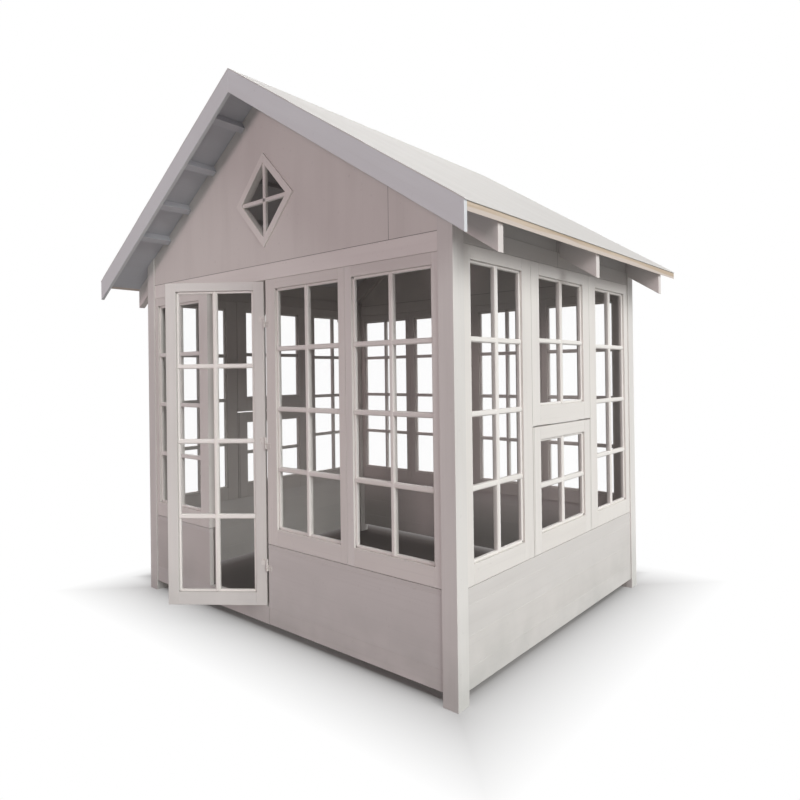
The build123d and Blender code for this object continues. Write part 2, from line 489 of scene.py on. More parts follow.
@dataclass(frozen=True)
class FibrePattern:
    """Wood fibres on board coordinates: noise drawn out along the length of each board.

    Single fibres, broad patches and one tone for a whole board each have their scales along a board,
    across it and from board to board, and a detail.
    """

    fibre: tuple[Triple, float] = ((1.6, 70.0, 31.0), 5.0)
    cloud: tuple[Triple, float] = ((1.1, 6.0, 17.0), 2.0)
    tone: tuple[Triple, float] = ((0.0, 0.0, 53.0), 0.0)

    def build(self) -> bpy.types.NodeTree:
        """Builds the group.

        Returns:
            Group with input Board and outputs Fibre, Cloud and Tone.
        """
        layers = {"Fibre": self.fibre, "Cloud": self.cloud, "Tone": self.tone}
        sh, board, out = start_group("timber_fibres", "Board", tuple(layers))
        for label, (scale, detail) in layers.items():
            stretched = sh.node("ShaderNodeMapping", {"Vector": board, "Scale": scale})
            sh.join(sh.noise(stretched.outputs[0], 1.0, detail), out.inputs[label])
        return sh.tree


def beyond_walls(sh: Shader, place: Socket, lean: float = 0.0) -> Socket:
    """Distance outside the plan of the posts: the larger of the two overhangs along X and Y.

    Args:
        sh: Helper of the node tree.
        place: Place on the object.
        lean: Half of what the plan grows to the left and the back, away from the sun.

    Returns:
        Distance in metres, negative inside the plan.
    """
    x, y, _ = (float(part) for part in PLAN.centre())
    overhangs = []
    for axis, middle, wall in ((Axis.X, x - lean, Wall.RIGHT), (Axis.Y, y + lean, Wall.FRONT)):
        offset = sh.math("ABSOLUTE", sh.math("SUBTRACT", sh.coordinate(place, axis), middle))
        overhangs.append(sh.math("SUBTRACT", offset, PLAN.reach(wall) + lean))
    return sh.math("MAXIMUM", *overhangs)


@dataclass(frozen=True)
class WeatheringAndShade:
    """Weathering and painted shade on object coordinates: splashed dirt that fades with height, scuffs, and
    painted shade that darkens all that lies inside the walls.

    Each noise has a scale and a detail. Each other pair says where a mark begins and where it is full:
    a height, a noise value, or a distance beyond the walls' outer faces.
    """

    splash: Span = (0.5, 0.05)
    patch_noise: Span = (4.0, 3.0)
    patch: Span = (0.25, 0.65)
    scuff_noise: Span = (38.0, 6.0)
    scuff: Span = (0.66, 0.78)
    # Painted shade indoors: it begins 22 mm inside the walls' outer faces and is full 50 mm inside.
    indoor_shade: Span = (-0.022, -0.05)

    def build(self) -> bpy.types.NodeTree:
        """Builds the group.

        Returns:
            Group with input Place and outputs Dirt, Scuff and Inside, the last a painted shade inside the
            walls.
        """
        sh, place, out = start_group("weathering_and_shade", "Place", ("Dirt", "Scuff", "Inside"))
        splash = sh.ramp(sh.coordinate(place, Axis.Z), *self.splash)
        patches = sh.ramp(sh.noise(place, *self.patch_noise), *self.patch)
        sh.join(sh.math("MULTIPLY", splash, patches), out.inputs["Dirt"])
        sh.join(sh.ramp(sh.noise(place, *self.scuff_noise), *self.scuff), out.inputs["Scuff"])
        sh.join(sh.ramp(beyond_walls(sh, place), *self.indoor_shade), out.inputs["Inside"])
        return sh.tree


FIBRES = FibrePattern().build()
WEATHER_AND_SHADE = WeatheringAndShade().build()


@dataclass(frozen=True)
class Finish:
    """A surface finish.

    Attributes:
        label: Name of the material.
        slot: Material slot of the record.
        tint: Main colour, linear.
        dark: Colour of grime or latewood, linear; on painted timber also the colour of the painted shade
            indoors.
        gloss: Roughness at its middle.
    """

    label: str
    slot: str
    tint: Triple
    dark: Triple
    gloss: float

    def material(self) -> bpy.types.Material:
        """Gives the material, made on first use.

        Returns:
            The material.
        """
        found = bpy.data.materials.get(self.label)
        if found:
            return found
        made = bpy.data.materials.new(self.label)
        sh = emptied(made)
        surface = sh.node("ShaderNodeBsdfPrincipled", self.feeds(sh))
        sh.node("ShaderNodeOutputMaterial", {"Surface": surface.outputs[0]})
        return made

    def feeds(self, sh: Shader) -> dict[str, Feed]:
        """Gives the shader's inputs by name; each kind of finish has its own."""
        raise NotImplementedError

    def fibres(self, sh: Shader) -> Outputs:
        """Places the fibre group on the piece's boards and gives its outputs."""
        board = sh.node("ShaderNodeAttribute", attribute_name="board").outputs["Vector"]
        return sh.node("ShaderNodeGroup", {"Board": board}, node_tree=FIBRES).outputs

    def weather_and_shade(self, sh: Shader) -> Outputs:
        """Places the group of weathering and painted indoor shade on the piece and gives its outputs."""
        return sh.node("ShaderNodeGroup", {"Place": sh.place()}, node_tree=WEATHER_AND_SHADE).outputs

    def roughness(self, sh: Shader, mask: Socket, spread: float = 0.2) -> Socket:
        """Lets the roughness vary about its middle with a mask from 0 to 1."""
        return sh.math("MULTIPLY_ADD", mask, spread, self.gloss - spread / 2)


@dataclass(frozen=True)
class PaintedTimber(Finish):
    """Brushed white paint over softwood, with fibres showing through, grime low down and painted shade
    indoors.

    Each pair of values says where a mark begins and where it is full, and each share how far its colour
    goes from the tint to the mark's own.

    Attributes:
        warmth: Shares of the tint that the warmest board has.
        splash: Colour of the dirt that rain throws up from the ground, linear.
        seams: Board joints, each an axis and a coordinate on it.
        relief: Strength of the raised fibres and their height in metres.
    """

    warmth: Triple = (0.93, 0.91, 0.88)
    streak: Span = (0.52, 0.8)
    streak_share: float = 0.09
    cloud: Span = (0.45, 0.75)
    cloud_share: float = 0.1
    splash: Triple = (0.33, 0.345, 0.325)
    splash_share: float = 0.4
    scuff_share: float = 0.18
    # How far the painted shade indoors takes the tint to the dark colour.
    indoor_shade_share: float = 0.6
    seams: tuple[tuple[Axis, float], ...] = ()
    seam_half: float = 0.0018
    seam_dark: Triple = (0.06, 0.052, 0.05)
    seam_share: float = 0.85
    relief: Span = (0.22, 0.0006)
    sheen: float = 0.35

    def feeds(self, sh: Shader) -> dict[str, Feed]:
        """Lays streaks, patches, dirt, scuffs, painted indoor shade and joints over the tint.

        Args:
            sh: Helper of the material's nodes.

        Returns:
            The shader's inputs.
        """
        wood = self.fibres(sh)
        weather_and_shade = self.weather_and_shade(sh)
        layers = [
            (sh.ramp(wood["Fibre"], *self.streak), self.streak_share, self.dark),
            (sh.ramp(wood["Cloud"], *self.cloud), self.cloud_share, self.dark),
            (weather_and_shade["Dirt"], self.splash_share, self.splash),
            (weather_and_shade["Scuff"], self.scuff_share, self.dark),
            # Painted shade on all that lies inside the walls.
            (weather_and_shade["Inside"], self.indoor_shade_share, self.dark),
        ]
        for axis, at in self.seams:
            offset = sh.math("SUBTRACT", sh.coordinate(sh.place(), axis), at)
            line = sh.ramp(sh.math("ABSOLUTE", offset), self.seam_half, self.seam_half / 3)
            layers.append((line, self.seam_share, self.seam_dark))
        warm = tuple(part * share for part, share in zip(self.tint, self.warmth))
        colour = sh.blend(wood["Tone"], self.tint, warm)
        for layer in layers:
            colour = sh.layer(colour, *layer)
        return {
            "Base Color": colour,
            "Roughness": self.roughness(sh, wood["Cloud"]),
            "Normal": sh.relief(wood["Fibre"], *self.relief),
            "Specular IOR Level": self.sheen,
        }


@dataclass(frozen=True)
class RawPine(Finish):
    """Bare sawn pine with a shadow line along its top and paint smeared along its lower edge.

    Attributes:
        smear_top: Height up to which the smear goes.
        shadow_low: Height from which the shadow line goes.
    """

    rings: Span = (0.4, 0.7)
    smear: Triple = (0.6, 0.53, 0.475)
    smear_top: float = 2.26
    smear_blur: float = 0.006
    smear_waver: float = 0.05
    shadow: Triple = (0.16, 0.12, 0.1)
    shadow_low: float = 2.2805
    shadow_blur: float = 0.002
    shadow_share: float = 0.7
    relief: Span = (0.5, 0.0008)

    def feeds(self, sh: Shader) -> dict[str, Feed]:
        """Lays growth rings, the smear and the shadow line over the tint.

        Args:
            sh: Helper of the material's nodes.

        Returns:
            The shader's inputs.
        """
        wood = self.fibres(sh)
        height = sh.coordinate(sh.place(), Axis.Z)
        bare = sh.blend(sh.ramp(wood["Fibre"], *self.rings), self.tint, self.dark)
        waver = sh.math("MULTIPLY_ADD", wood["Cloud"], self.smear_waver, -self.smear_waver / 2)
        edge = sh.math("ADD", height, waver)
        low = sh.ramp(edge, self.smear_top, self.smear_top - self.smear_blur)
        line = sh.ramp(height, self.shadow_low, self.shadow_low + self.shadow_blur)
        smeared = sh.blend(low, bare, self.smear)
        return {
            "Base Color": sh.layer(smeared, line, self.shadow_share, self.shadow),
            "Roughness": self.roughness(sh, wood["Fibre"]),
            "Normal": sh.relief(wood["Fibre"], *self.relief),
        }


@dataclass(frozen=True)
class RoofCoat(Finish):
    """Matt pale coating on the roof sheets, with water stains drawn down the slope."""

    stain: Span = (0.42, 0.8)
    stain_share: float = 0.16
    scuff_share: float = 0.15
    peel: Span = (160.0, 2.0)
    relief: Span = (0.25, 0.0005)

    def feeds(self, sh: Shader) -> dict[str, Feed]:
        """Lays stains and scuffs over the tint, on a fine orange peel.

        Args:
            sh: Helper of the material's nodes.

        Returns:
            The shader's inputs.
        """
        cloud = self.fibres(sh)["Cloud"]
        stained = sh.layer(self.tint, sh.ramp(cloud, *self.stain), self.stain_share, self.dark)
        return {
            "Base Color": sh.layer(stained, self.weather_and_shade(sh)["Scuff"], self.scuff_share, self.dark),
            "Roughness": self.roughness(sh, cloud),
            "Normal": sh.relief(sh.noise(sh.place(), *self.peel), *self.relief),
        }


@dataclass(frozen=True)
class ClearGlass(Finish):
    """Thin clear panes with a trace of dust."""

    dust_noise: Span = (9.0, 4.0)
    dust: Span = (0.4, 0.9)
    clear: float = 0.008
    dusty: float = 0.005

    def feeds(self, sh: Shader) -> dict[str, Feed]:
        """Takes the colour and a low alpha from a dust mask.

        Args:
            sh: Helper of the material's nodes.

        Returns:
            The shader's inputs.
        """
        dust = sh.ramp(sh.noise(sh.place(), *self.dust_noise), *self.dust)
        return {
            "Base Color": sh.blend(dust, self.tint, self.dark),
            "Alpha": sh.math("MULTIPLY_ADD", dust, self.dusty, self.clear),
            "Roughness": self.gloss,
        }


@dataclass(frozen=True)
class PaintedSteel(Finish):
    """White-painted hinge steel with rust breaking through in specks.

    Attributes:
        spread: How much rougher a speck is than the paint.
    """

    speck_noise: Span = (120.0, 4.0)
    speck: Span = (0.55, 0.7)
    spread: float = 0.3

    def feeds(self, sh: Shader) -> dict[str, Feed]:
        """Takes colour and roughness from the specks.

        Args:
            sh: Helper of the material's nodes.

        Returns:
            The shader's inputs.
        """
        speck = sh.ramp(sh.noise(sh.place(), *self.speck_noise), *self.speck)
        return {
            "Base Color": sh.blend(speck, self.tint, self.dark),
            "Roughness": self.roughness(sh, speck, self.spread),
        }


# Dark colour of fibres, grime and scuffs, and also of the painted shade indoors.
GRIME_AND_SHADE = (0.34, 0.31, 0.29)
GABLE_SEAMS = ((Axis.X, 1.0), (Axis.Z, 2.247))
PLATE_SEAMS = ((Axis.Z, 2.28), (Axis.Y, 0.03))


def paint(name: str, tint: Triple, gloss: float, **more: object) -> PaintedTimber:
    """White paint of one tint, dulled by the same grime and painted indoor shade everywhere."""
    return PaintedTimber(f"{name}_paint", "white_paint", tint, GRIME_AND_SHADE, gloss, **more)


# One white paint in tints set part by part. Bars and headers are lighter as painted light; panels, plates,
# the door and the soffits are darker as painted shade; soffits and barge boards are bluer as painted
# skylight.
FRAME_PAINT = paint("frame", (0.78, 0.762, 0.738), 0.55)
POST_PAINT = paint("post", (0.735, 0.725, 0.705), 0.5)
BAR_LIT_PAINT = paint("bar", (0.86, 0.845, 0.82), 0.5)
PANEL_SHADED_PAINT = paint("panel", (0.665, 0.65, 0.637), 0.6)
HEADER_LIT_PAINT = paint("header", (0.88, 0.86, 0.835), 0.55, streak_share=0.05)
GABLE_PAINT = paint("gable", (0.77, 0.75, 0.725), 0.55, streak_share=0.04, seams=GABLE_SEAMS)
PLATE_SHADED_PAINT = paint("plate", (0.64, 0.625, 0.6), 0.55, seams=PLATE_SEAMS)
SOFFIT_SHADED_PAINT = paint("soffit", (0.58, 0.605, 0.65), 0.6)
RAFTER_PAINT = paint("rafter", (0.74, 0.705, 0.69), 0.6)
DOOR_SHADED_PAINT = paint("door", (0.65, 0.64, 0.625), 0.5, streak_share=0.06)
BARGE_SKYLIT_PAINT = paint("barge", (0.72, 0.755, 0.785), 0.5, streak_share=0.05)
PINE = RawPine("bare_pine", "raw_pine", (0.58, 0.485, 0.38), (0.47, 0.37, 0.27), 0.75)
ROOF = RoofCoat("roof_coat", "roof_paint", (0.635, 0.627, 0.608), (0.5, 0.48, 0.45), 0.7)
GLASS = ClearGlass("pane_glass", "clear_glass", (0.9, 0.93, 0.93), (0.7, 0.7, 0.68), 0.05)
STEEL = PaintedSteel("hinge_paint", "painted_steel", (0.66, 0.64, 0.61), (0.4, 0.33, 0.28), 0.6)


def quarters(rows: Span) -> tuple[float, ...]:
    """Heights of three bars that part an opening in four."""
    return tuple(rows[0] + (rows[1] - rows[0]) * share for share in (0.25, 0.5, 0.75))


@dataclass(frozen=True)
class Light:
    """One glazed light of a unit.

    Attributes:
        along: Outer limits of its timbers along the wall.
        up: Their outer limits of height.
        opening: Limits of its opening along the wall and of height.
        heights: Middle heights of its level bars.
    """

    along: Span
    up: Span
    opening: Opening
    heights: tuple[float, ...]


@dataclass
class Glazing:
    """Glazed units: stiles and rails around each opening, with bars and a bead in it.

    Attributes:
        turn: Move of the unit from its place in the wall, or None.
        bar_depth: Front and back of a bar, in from the wall's outer face.
        bar_ease: Bevel of a bar; the bead has half of it.
        hair: How far a level bar lies within the upright one, so that their faces differ.
    """

    finish: PaintedTimber = FRAME_PAINT
    body: Body = Body.CABIN
    turn: Matrix | None = None
    thickness: float = 0.045
    bar_width: float = 0.028
    bar_depth: Span = (0.014, 0.047)
    bar_ease: float = 0.006
    bead_width: float = 0.014
    bead_depth: Span = (0.02, 0.041)
    hair: float = 0.0008

    def build(self, node: str, wall: Wall, lights: list[Light], strips: tuple[Opening, ...] = ()) -> None:
        """Builds a unit as two pieces, its joinery and its bars.

        Args:
            node: CAD node that the joinery stands for.
            wall: Wall of the unit.
            lights: Its lights in order.
            strips: Limits of upright boards beside them, along the wall and of height.
        """
        work = Joinery(f"{node}_joinery", self.body)
        bars = Joinery(f"{node}_bars", self.body)
        depth = (SETBACK, SETBACK + self.thickness)
        for light in lights:
            (left, right), (low, high) = light.opening
            for stile in ((light.along[0], left), (right, light.along[1])):
                work.board(wall, stile, depth, light.up, Grain.UP)
            for rail in ((light.up[0], low), (high, light.up[1])):
                work.board(wall, (left, right), depth, rail, Grain.ALONG)
            self.fill(bars, wall, light)
        for along, up in strips:
            work.board(wall, along, depth, up, Grain.UP)
        work.build(self.finish, (node,), self.turn)
        bars.build(BAR_LIT_PAINT, (), self.turn)

    def fill(self, bars: Joinery, wall: Wall, light: Light) -> None:
        """Fills an opening with one upright bar, level bars and a bead all round.

        Args:
            bars: Joinery that takes the timbers.
            wall: Wall of the opening.
            light: The light.
        """
        along, up = light.opening
        half = self.bar_width / 2
        middle = (along[0] + along[1]) / 2
        bars.board(wall, (middle - half, middle + half), self.bar_depth, up, Grain.UP, self.bar_ease)
        level_depth = inset(self.bar_depth, self.hair)
        for height in light.heights:
            level = (height - half, height + half)
            bars.board(wall, along, level_depth, level, Grain.ALONG, self.bar_ease)
        for side in ends(along, self.bead_width):
            bars.board(wall, side, self.bead_depth, up, Grain.UP, self.bar_ease / 2)
        for edge in ends(up, self.bead_width):
            bars.board(wall, along, self.bead_depth, edge, Grain.ALONG, self.bar_ease / 2)


@dataclass
class TimberWall:
    """One wall: its window units and low boarded panels.

    Attributes:
        seam: Gap that shows between neighbouring units.
        board_joints: Heights of the joints between a low panel's boards.
    """

    wall: Wall
    panel: float = 0.03
    seam: float = 0.003
    board_joints: tuple[float, ...] = (0.17, 0.32, 0.465)
    glazing: Glazing = field(default_factory=Glazing)

    def limits(self, node: str) -> Opening:
        """Limits of a node in the wall's own coordinates.

        Args:
            node: CAD node in this wall.

        Returns:
            Limits along the wall and of height.
        """
        low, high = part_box(node)
        x, y, _ = PLAN.centre()
        along = {
            Wall.FRONT: (low.x - x, high.x - x),
            Wall.BACK: (x - high.x, x - low.x),
            Wall.RIGHT: (low.y - y, high.y - y),
            Wall.LEFT: (y - high.y, y - low.y),
        }
        return along[self.wall], (low.z, high.z)

    def parted(self, node: str) -> Opening:
        """Limits of a node less half a seam all round."""
        along, up = self.limits(node)
        return inset(along, self.seam / 2), inset(up, self.seam / 2)

    def casement(self, node: str, openings: list[Opening], heights: tuple[float, ...]) -> None:
        """Builds a unit of lights that stand side by side, with a fine joint between them.

        Args:
            node: CAD node of the unit.
            openings: Openings in order along the wall.
            heights: Middle heights of the level bars.
        """
        along, up = self.parted(node)
        hair = self.seam / 4
        meetings = [(before[0][1] + after[0][0]) / 2 for before, after in zip(openings, openings[1:])]
        starts = [along[0], *[meeting + hair for meeting in meetings]]
        stops = [*[meeting - hair for meeting in meetings], along[1]]
        spans = zip(zip(starts, stops), openings)
        lights = [Light(span, up, opening, heights) for span, opening in spans]
        self.glazing.build(node, self.wall, lights)

    def low_panel(self, node: str) -> None:
        """Builds a low panel of wide level boards with a hair joint between them.

        Args:
            node: CAD node of the panel.
        """
        work = Joinery(f"{node}_boards")
        along, up = self.parted(node)
        joints = [up[0], *[z for z in self.board_joints if up[0] < z < up[1]], up[1]]
        depth = (SETBACK, SETBACK + self.panel)
        for board in zip(joints, joints[1:]):
            work.board(self.wall, along, depth, board, Grain.ALONG)
        work.build(PANEL_SHADED_PAINT, (node,))


@dataclass
class EndWall(TimberWall):
    """Front or back wall, whose bays are mirrored about the middle.

    Attributes:
        hanging_stile: Timber between the middle of the wall and the first opening.
    """

    corner_stile: float = 0.042
    mullion: float = 0.102
    hanging_stile: float = 0.09
    rail_low: float = 0.1
    rail_high: float = 0.06

    def bays(self, node: str) -> tuple[list[Span], Span]:
        """Openings from the middle of the wall to its right corner.

        Args:
            node: CAD node of a frame that reaches that corner.

        Returns:
            Limits of two openings along the wall, and the limits of height of both.
        """
        (_, corner), up = self.limits(node)
        width = (corner - self.corner_stile - self.mullion - self.hanging_stile) / 2
        first = (self.hanging_stile, self.hanging_stile + width)
        second = (first[1] + self.mullion, first[1] + self.mullion + width)
        return [first, second], (up[0] + self.rail_low, up[1] - self.rail_high)

    def front_windows(self) -> None:
        """Builds the double window right of the door and the single one left of it."""
        bays, rows = self.bays("front_window_right")
        left = (-bays[1][1], -bays[1][0])
        self.casement("front_window_right", [(bay, rows) for bay in bays], quarters(rows))
        self.casement("front_window_left", [(left, rows)], quarters(rows))

    def back_windows(self) -> None:
        """Builds the row of windows of the back wall."""
        bays, rows = self.bays("back_window")
        spans = [(-b, -a) for a, b in reversed(bays)] + bays
        self.casement("back_window", [(span, rows) for span in spans], quarters(rows))


@dataclass
class SideWall(TimberWall):
    """Left or right wall: tall windows beside a middle one with an upper and a lower sash.

    Attributes:
        side: Word for the side in the nodes' names.
        meeting_stile: Stile against the middle unit.
        bar_heights: Middle heights of the tall windows' level bars.
        lower: Limits of height of the lower light.
    """

    side: str = "right"
    corner_stile: float = 0.065
    meeting_stile: float = 0.1
    split_stile: float = 0.09
    rail_low: float = 0.1
    rail_high: float = 0.07
    bar_heights: tuple[float, ...] = (1.01, 1.37, 1.735)
    upper_low: float = 1.38
    lower: Span = (0.66, 1.19)
    sash_rail: float = 0.072
    sash_stile: float = 0.075
    sash_gap: float = 0.009

    def windows(self) -> None:
        """Builds the two tall windows, in order along the wall, and the split one."""
        places = ("front", "back") if self.wall is Wall.RIGHT else ("back", "front")
        stiles = (self.corner_stile, self.meeting_stile)
        for place, (first, last) in zip(places, (stiles, stiles[::-1])):
            node = f"{self.side}_window_{place}"
            along, up = self.limits(node)
            rows = (up[0] + self.rail_low, up[1] - self.rail_high)
            self.casement(node, [((along[0] + first, along[1] - last), rows)], self.bar_heights)
        self.split_window(f"{self.side}_window_middle")

    def split_window(self, node: str) -> None:
        """Builds the middle unit: a fixed upper light and a lower sash with a gap around it.

        Args:
            node: CAD node of the unit.
        """
        along, up = self.parted(node)
        half_seam = self.seam / 2
        glass = inset(along, self.split_stile)
        sash = inset(glass, -self.sash_stile)
        parting = self.lower[1] + self.sash_rail
        upper = (self.upper_low, up[1] - self.rail_high)
        below = (up[0], parting)
        lights = [
            Light(along, (parting + self.sash_gap, up[1]), (glass, upper), (sum(upper) / 2,)),
            Light(inset(sash, half_seam), below, (glass, self.lower), (sum(self.lower) / 2,)),
        ]
        sides = ((along[0], sash[0]), (sash[1], along[1]))
        strips = tuple((inset(side, half_seam), below) for side in sides)
        self.glazing.build(node, self.wall, lights, strips)


@dataclass
class DoorLeaf:
    """Glazed door leaf, built shut in the front wall and turned to its rest about the hinge."""

    gap: float = 0.008
    stile: float = 0.065
    bottom_rail: float = 0.078
    top_rail: float = 0.052
    thickness: float = 0.038
    bar_depth: Span = (0.012, 0.042)
    bead_depth: Span = (0.018, 0.036)

    def turn(self) -> Matrix:
        """Move from the shut leaf to its rest, about the hinge's axis.

        Returns:
            The move.
        """
        joint = frame["joints"][0]
        pivot = Matrix.Translation(joint["pos_m"])
        angle = math.radians(-joint["range_deg"][0])
        return pivot @ Matrix.Rotation(angle, 4, "Z") @ pivot.inverted()

    def build(self) -> None:
        """Builds the leaf's stiles, rails, bars and beads."""
        low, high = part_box("door_threshold")
        along = (low.x + self.gap, high.x - self.gap)
        leaf_low, leaf_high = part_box("door_leaf")
        up = (leaf_low.z, leaf_high.z)
        rows = (up[0] + self.bottom_rail, up[1] - self.top_rail)
        light = Light(along, up, (inset(along, self.stile), rows), quarters(rows))
        unit = Glazing(
            DOOR_SHADED_PAINT,
            Body.DOOR,
            self.turn(),
            self.thickness,
            bar_depth=self.bar_depth,
            bead_depth=self.bead_depth,
        )
        unit.build("door_leaf", Wall.FRONT, [light])


@dataclass
class GableWindow:
    """Cross bars of the rhombus window in the front gable.

    Attributes:
        depth: Front and back of the bars, in from the wall's outer face.
        border: Share of the frame's size that the glass has.
    """

    bar_width: float = 0.026
    depth: Span = (0.006, 0.03)
    border: float = 0.79
    ease: float = 0.004

    def build(self) -> None:
        """Builds the upright and the level bar from corner to corner of the glass."""
        low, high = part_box("gable_window_frame")
        middle = (low.z + high.z) / 2
        tall = (high.z - low.z) / 2 * self.border
        wide = (high.x - low.x) / 2 * self.border
        half = self.bar_width / 2
        work = Joinery("gable_window_bars", ease=self.ease)
        work.board(Wall.FRONT, (-half, half), self.depth, (middle - tall, middle + tall), Grain.UP)
        work.board(Wall.FRONT, (-wide, wide), self.depth, (middle - half, middle + half), Grain.ALONG)
        work.build(BAR_LIT_PAINT)


@dataclass
class PlainTimbers:
    """CAD timbers whose shape stays, with eased edges and painted fibres along their length.

    Attributes:
        pitch: Slope of the roof, in radians.
    """

    pitch: float = math.radians(33)

    def build(self) -> None:
        """Eases the posts, headers, gables, plates and roof timbers."""
        across, deep, up = (1.0, 0.0, 0.0), (0.0, 1.0, 0.0), (0.0, 0.0, 1.0)
        for end in ("front", "back"):
            eased_copy(f"{end}_gable", GABLE_PAINT, up)
            eased_copy(f"{end}_header", HEADER_LIT_PAINT, across)
            for side in ("left", "right"):
                eased_copy(f"post_{end}_{side}", POST_PAINT, up)
        eased_copy("door_threshold", PANEL_SHADED_PAINT, across)
        eased_copy("door_stop", FRAME_PAINT, up)
        eased_copy("gable_window_frame", BAR_LIT_PAINT, up)
        eased_copy("purlins", SOFFIT_SHADED_PAINT, deep)
        eased_copy("eave_battens", PINE, deep)
        for side, sign in (("left", -1.0), ("right", 1.0)):
            downhill = (sign * math.cos(self.pitch), 0.0, -math.sin(self.pitch))
            eased_copy(f"{side}_wall_plate", PLATE_SHADED_PAINT, deep)
            eased_copy(f"roof_panel_{side}", SOFFIT_SHADED_PAINT, deep)
            eased_copy(f"rafters_{side}", RAFTER_PAINT, downhill)
            eased_copy(f"barge_board_{side}", BARGE_SKYLIT_PAINT, downhill)


@dataclass
class RoofSheets:
    """Thin coated sheets that cover each slope in courses, each lapped on the one below.

    Attributes:
        courses: Number of courses from eave to ridge, a trace less so that none starts at the ridge.
        lap: Height of a sheet's lower edge over the course under it.
        ripple: Height of the sheets' slight unevenness.
        waves: Two sine waves of it, each with its rate along the eave and up the slope.
        margin: Share of the slope over which laps and ripple fade out at the eave and the ridge.
        grid: Points along the eave and up the slope.
    """

    courses: float = 3 * 0.9999
    lap: float = 0.002
    ripple: float = 0.0005
    waves: tuple[Span, Span] = ((5.1, 9.0), (2.3, -21.0))
    margin: float = 0.04
    grid: tuple[int, int] = (72, 73)

    def build(self) -> None:
        """Builds both slopes over the CAD skins."""
        self.slope("left", -1.0)
        self.slope("right", 1.0)

    def slope(self, side: str, sign: float) -> None:
        """Builds one slope as a height over a grid, closed underneath.

        A point has a share t from eave to ridge and a length y along the eave. Its height over the
        panel is the skin's own thickness, plus a saw-tooth of t that drops at each lap, plus low
        sine waves of y and t.

        Args:
            side: Word for the side in the nodes' names.
            sign: Side of the ridge, -1 for left and 1 for right.
        """
        node = f"roof_skin_{side}"
        low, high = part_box(node)
        _, panel_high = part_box(f"roof_panel_{side}")
        skin = high.z - panel_high.z
        edge = max(abs(low.x), abs(high.x))
        along, rise = self.grid
        y, t = np.meshgrid(np.linspace(low.y, high.y, along), np.linspace(0, 1, rise), indexing="ij")
        x = sign * edge * (1 - t)
        base = low.z + t * (panel_high.z - low.z)
        tooth = self.lap * (1 - np.mod(t * self.courses, 1.0))
        wave = self.ripple * np.mean([np.sin(a * y + b * t) for a, b in self.waves], axis=0)
        fade = np.clip(np.minimum(t, 1 - t) / self.margin, 0, 1)
        upper = np.stack([x, y, base + skin + (tooth + wave) * fade, t * edge, y], axis=-1)
        under = np.stack([x, y, base, t * edge, y], axis=-1)
        rings = np.concatenate([upper, under[:, ::-1]], axis=1)
        if sign > 0:
            rings = rings[:, ::-1]
        work = Joinery(f"{node}_sheets")
        work.carry(rings[..., :3], rings[..., 3:])
        work.build(ROOF, (node,))


@dataclass
class HingeScrews:
    """Screw heads on the hinge plates, as low domes.

    Attributes:
        rise: Height of the dome over the plate.
        sink: Depth of its rim in the plate.
        reach: Distances of the two screws of a plate from the pin.
        plate: Outer face of the plates, in from the wall's outer face.
        shares: Heights of the hinges as shares of the leaf's height.
        arc_shares: Places of a head's rings on the quarter turn from the rim to the crown.
    """

    radius: float = 0.0036
    rise: float = 0.0011
    sink: float = 0.0008
    reach: Span = (0.017, 0.029)
    plate: float = 0.0055
    shares: tuple[float, ...] = (0.125, 0.5, 0.875)
    plate_height: float = 0.035
    around: int = 20
    arc_shares: tuple[float, ...] = (0.0, 0.0, 0.25, 0.5, 0.75, 0.96)

    def dome(self, along: float, up: float) -> np.ndarray:
        """Rings of one head: a circle whose radius and height follow a quarter of a cosine and a sine.

        Args:
            along: Place along the front wall.
            up: Height of the middle.

        Returns:
            Rings of shape (stations, points, 3) in the cabin's frame, from the rim to the crown.
        """
        arc = np.array(self.arc_shares)[:, None] * math.pi / 2
        angle = np.linspace(0, 2 * math.pi, self.around, endpoint=False)[None, :]
        radius = self.radius * np.cos(arc)
        height = self.rise * np.sin(arc)
        height[0] = -self.sink
        x = along + radius * np.cos(angle)
        z = up + radius * np.sin(angle)
        depth = np.broadcast_to(self.plate - height, x.shape)
        return PLAN.place(np.stack([x, depth, z], axis=-1), Wall.FRONT)

    def build(self) -> None:
        """Sets two heads on each plate, the fixed ones on the cabin and the others on the door."""
        pin = frame["joints"][0]["pos_m"][0]
        low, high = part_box("door_leaf")
        fixed = Joinery("hinge_screws_fixed")
        moving = Joinery("hinge_screws_moving", Body.DOOR)
        for share in self.shares:
            middle = low.z + share * (high.z - low.z)
            for reach in self.reach:
                for work, sense in ((fixed, 1), (moving, -1)):
                    rings = self.dome(pin + sense * reach, middle - sense * self.plate_height / 2)
                    work.carry(rings, np.zeros((*rings.shape[:2], 2)))
        fixed.build(STEEL)
        moving.build(STEEL, (), DoorLeaf().turn())


@dataclass(frozen=True)
class Lamp:
    """A sun with a broad disc, so that its shadows are soft.

    Attributes:
        source: Direction that its light comes from.
        disc: Width of the disc in degrees.
    """

    name: str
    power: float
    source: Triple
    colour: Triple
    disc: float

    def build(self) -> None:
        """Sets the lamp with its own Z axis towards the source."""
        lamp = bpy.data.lights.new(self.name, "SUN")
        lamp.energy = self.power
        lamp.angle = math.radians(self.disc)
        lamp.color = self.colour
        towards = np.array(self.source) / np.linalg.norm(self.source)
        aside = np.cross([0.0, 0.0, 1.0], towards)
        aside = aside / np.linalg.norm(aside)
        sun = linked(self.name, lamp)
        sun.matrix_world = aimed((aside, np.cross(towards, aside), towards), np.zeros(3))


